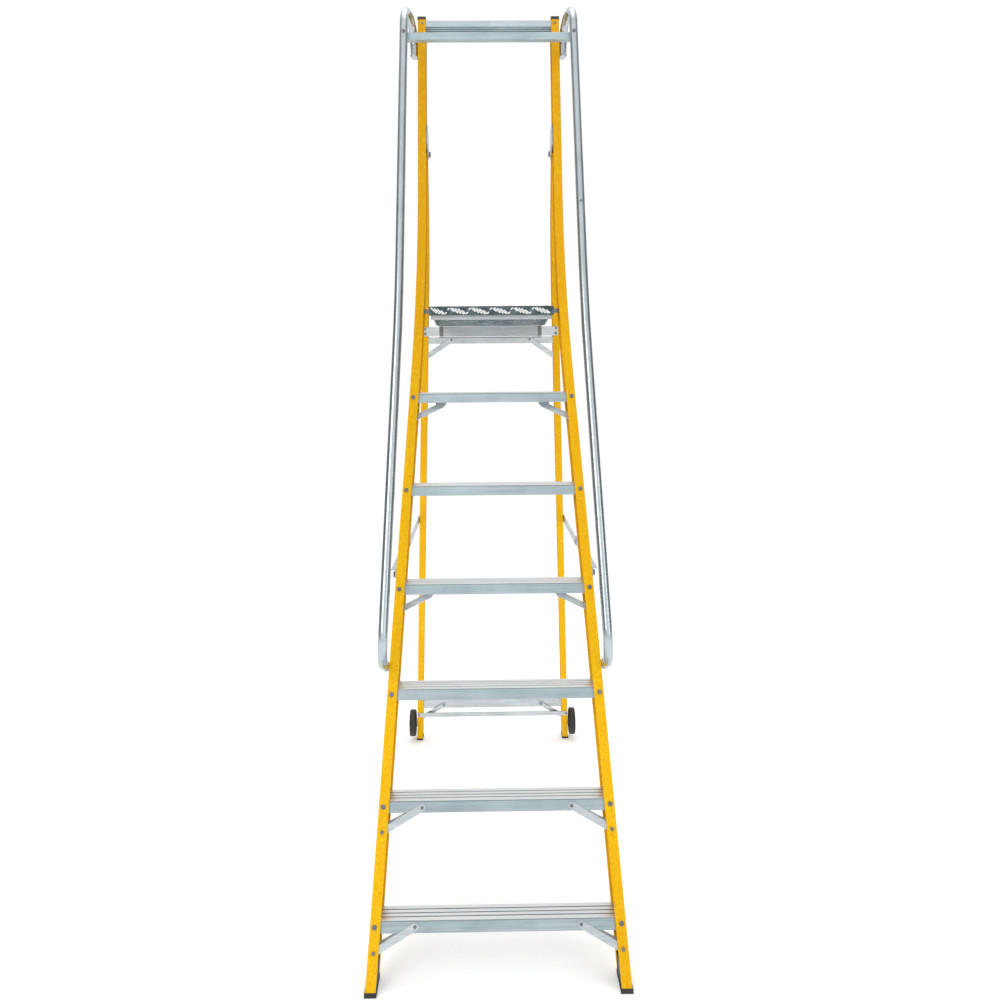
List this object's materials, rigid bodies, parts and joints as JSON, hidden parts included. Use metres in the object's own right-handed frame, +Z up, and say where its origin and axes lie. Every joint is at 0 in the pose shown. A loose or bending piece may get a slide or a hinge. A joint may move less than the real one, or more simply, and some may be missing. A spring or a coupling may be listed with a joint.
{
  "type": "platform step ladder",
  "caption": "Folding fibreglass platform step ladder with ribbed treads, chequer-plate platform, tubular handrails, folding stays and rear transport wheels.",
  "frame": {"origin": "centre of the footprint at floor level", "axes": "+X to the climber's right, +Y from the climbing side to the rear legs, +Z up"},
  "size_m": [0.648, 1.669, 2.6004],
  "materials": {
    "grp": "pultruded fibreglass, satin",
    "black_plastic": "moulded",
    "tyre": "matt rubber",
    "tube": "satin tube",
    "extrusion": "mill finish, ribbed",
    "chequer": "five-bar plate",
    "fixings": "zinc plated",
    "alu_bar": "mill finish"
  },
  "bodies": {
    "platform": {"platform_deck": "chequer", "platform_front_stiffener": "alu_bar", "platform_side_rails": "alu_bar"},
    "rear_frame": {"platform_support_bracket_left": "alu_bar", "platform_support_bracket_right": "alu_bar", "platform_support_rail": "alu_bar", "rear_flat_brace": "alu_bar", "rear_foot_left": "black_plastic", "rear_foot_right": "black_plastic", "rear_leg_left": "grp", "rear_leg_right": "grp", "rear_lower_bar": "alu_bar", "rear_lower_braces": "alu_bar", "rear_rivets": "fixings", "rear_upper_bar": "alu_bar", "rear_upper_braces": "alu_bar", "stay_rear_pivots": "fixings", "support_rail_ends": "fixings", "wheel_axles": "fixings"},
    "root_frame": {"brace_screws": "fixings", "cross_bar_bolts": "fixings", "cross_bar_plugs": "black_plastic", "front_foot_left": "black_plastic", "front_foot_right": "black_plastic", "front_stile_left": "grp", "front_stile_right": "grp", "handrail_bolts": "fixings", "handrail_cross_bar": "extrusion", "handrail_left": "tube", "handrail_right": "tube", "hinge_blocks": "black_plastic", "hinge_bolts": "fixings", "hinge_plate_left": "alu_bar", "hinge_plate_right": "alu_bar", "hinge_spacers": "black_plastic", "platform_pivot_pins": "fixings", "platform_spacers": "fixings", "stay_front_pivots": "fixings", "stile_cap_left": "black_plastic", "stile_cap_right": "black_plastic", "top_tray": "extrusion", "tray_screws": "fixings", "tread_1": "extrusion", "tread_2": "extrusion", "tread_3": "extrusion", "tread_4": "extrusion", "tread_5": "extrusion", "tread_6": "extrusion", "tread_front_braces": "alu_bar", "tread_rear_braces": "alu_bar", "tread_screws": "fixings"},
    "wheel_left": {"wheel_hub_left": "black_plastic", "wheel_tyre_left": "tyre"},
    "stay_front_left": {"stay_front_link_left": "alu_bar"},
    "stay_rear_left": {"stay_rear_link_left": "alu_bar"},
    "wheel_right": {"wheel_hub_right": "black_plastic", "wheel_tyre_right": "tyre"},
    "stay_front_right": {"stay_front_link_right": "alu_bar"},
    "stay_rear_right": {"stay_rear_link_right": "alu_bar"}
  },
  "joints": [
    {"name": "rear_fold", "type": "hinge", "parent": "root_frame", "child": "rear_frame", "pos_m": [0, 0.059, 2.142], "axis": [-1, 0, 0], "range_deg": [0, 38]},
    {"name": "platform_tilt", "type": "hinge", "parent": "root_frame", "child": "platform", "pos_m": [0, -0.192, 1.634], "axis": [1, 0, 0], "range_deg": [0, 67]},
    {"name": "stay_front_hinge_left", "type": "hinge", "parent": "root_frame", "child": "stay_front_left", "pos_m": [0, -0.461, 0.917], "axis": [1, 0, 0], "range_deg": [0, 74.22]},
    {"name": "stay_rear_hinge_left", "type": "hinge", "parent": "rear_frame", "child": "stay_rear_left", "pos_m": [0, 0.4906, 0.906], "axis": [-1, 0, 0], "range_deg": [0, 56.7]},
    {"name": "wheel_spin_left", "type": "hinge", "parent": "rear_frame", "child": "wheel_left", "pos_m": [-0.309, 0.78407, 0.067], "axis": [1, 0, 0], "continuous": true},
    {"name": "stay_front_hinge_right", "type": "hinge", "parent": "root_frame", "child": "stay_front_right", "pos_m": [0, -0.461, 0.917], "axis": [1, 0, 0], "range_deg": [0, 74.22]},
    {"name": "stay_rear_hinge_right", "type": "hinge", "parent": "rear_frame", "child": "stay_rear_right", "pos_m": [0, 0.4906, 0.906], "axis": [-1, 0, 0], "range_deg": [0, 56.7]},
    {"name": "wheel_spin_right", "type": "hinge", "parent": "rear_frame", "child": "wheel_right", "pos_m": [0.309, 0.78407, 0.067], "axis": [1, 0, 0], "continuous": true}
  ],
  "couplings": [
    {"joint": "platform_tilt", "follows": "rear_fold", "ratio": 1.75},
    {"joint": "stay_front_hinge_left", "follows": "rear_fold", "ratio": 1.9401},
    {"joint": "stay_rear_hinge_left", "follows": "rear_fold", "ratio": 1.4789},
    {"joint": "stay_front_hinge_right", "follows": "rear_fold", "ratio": 1.9401},
    {"joint": "stay_rear_hinge_right", "follows": "rear_fold", "ratio": 1.4789}
  ]
}
